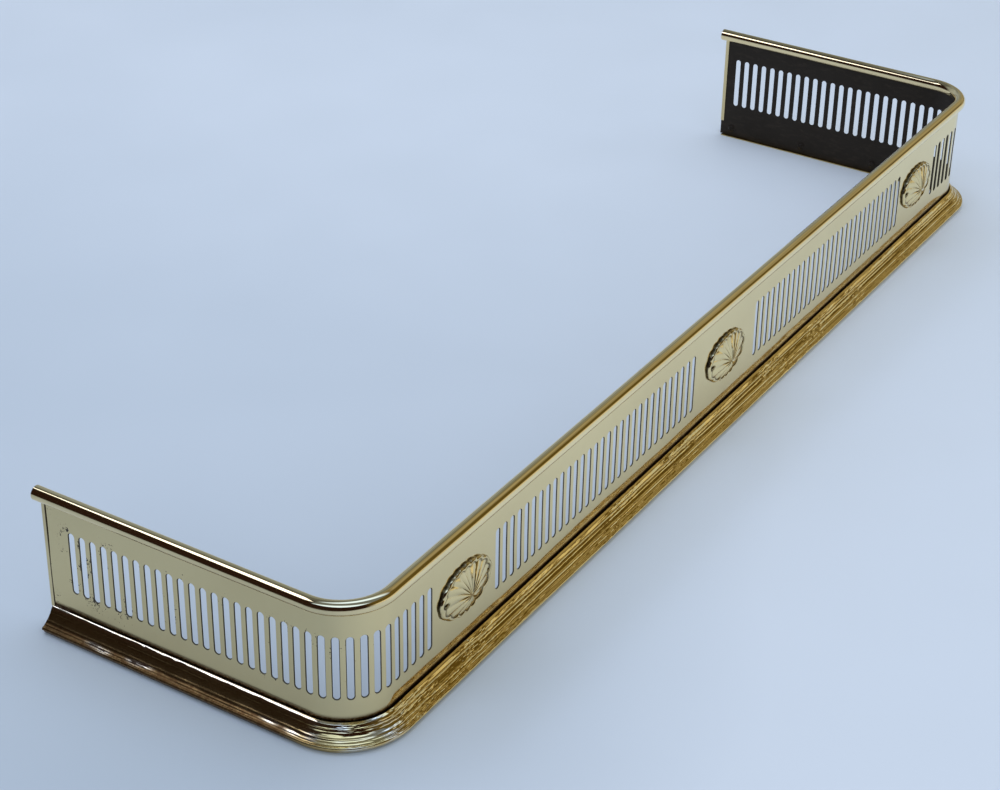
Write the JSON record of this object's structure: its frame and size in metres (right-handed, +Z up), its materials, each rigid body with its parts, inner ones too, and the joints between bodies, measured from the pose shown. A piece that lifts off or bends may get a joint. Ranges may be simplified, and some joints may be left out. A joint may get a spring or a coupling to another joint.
{
  "type": "fire fender",
  "caption": "U-shaped pierced sheet fire fender with rounded front corners, a tube top rail, a stepped base moulding and oval scallop ornaments along its front.",
  "frame": {"origin": "middle of the floor area that the fender covers, on the floor", "axes": "+X along the long front, -Y out of the front, +Y to the open back, +Z up"},
  "size_m": [1.3932, 0.3766, 0.1503],
  "materials": {
    "panel_brass": "polished sheet, satin black paint on the inside",
    "rail_brass": "polished tube",
    "moulding_brass": "polished pressing, slightly dented",
    "edging_brass": "polished strip",
    "shell_brass": "polished casting, dark in its furrows",
    "pin_brass": "polished",
    "black_paint": "satin black",
    "clip_steel": "plain"
  },
  "bodies": {
    "root": {"panel": "panel_brass", "top_rail": "rail_brass", "base_moulding": "moulding_brass", "left_edging": "edging_brass", "right_edging": "edging_brass", "left_shell": "shell_brass", "centre_shell": "shell_brass", "right_shell": "shell_brass", "left_shell_pins": "pin_brass", "centre_shell_pins": "pin_brass", "right_shell_pins": "pin_brass", "left_base_screws": "black_paint", "front_base_screws": "black_paint", "right_base_screws": "black_paint", "left_base_clips": "clip_steel", "front_base_clips": "clip_steel", "right_base_clips": "clip_steel"}
  },
  "joints": []
}
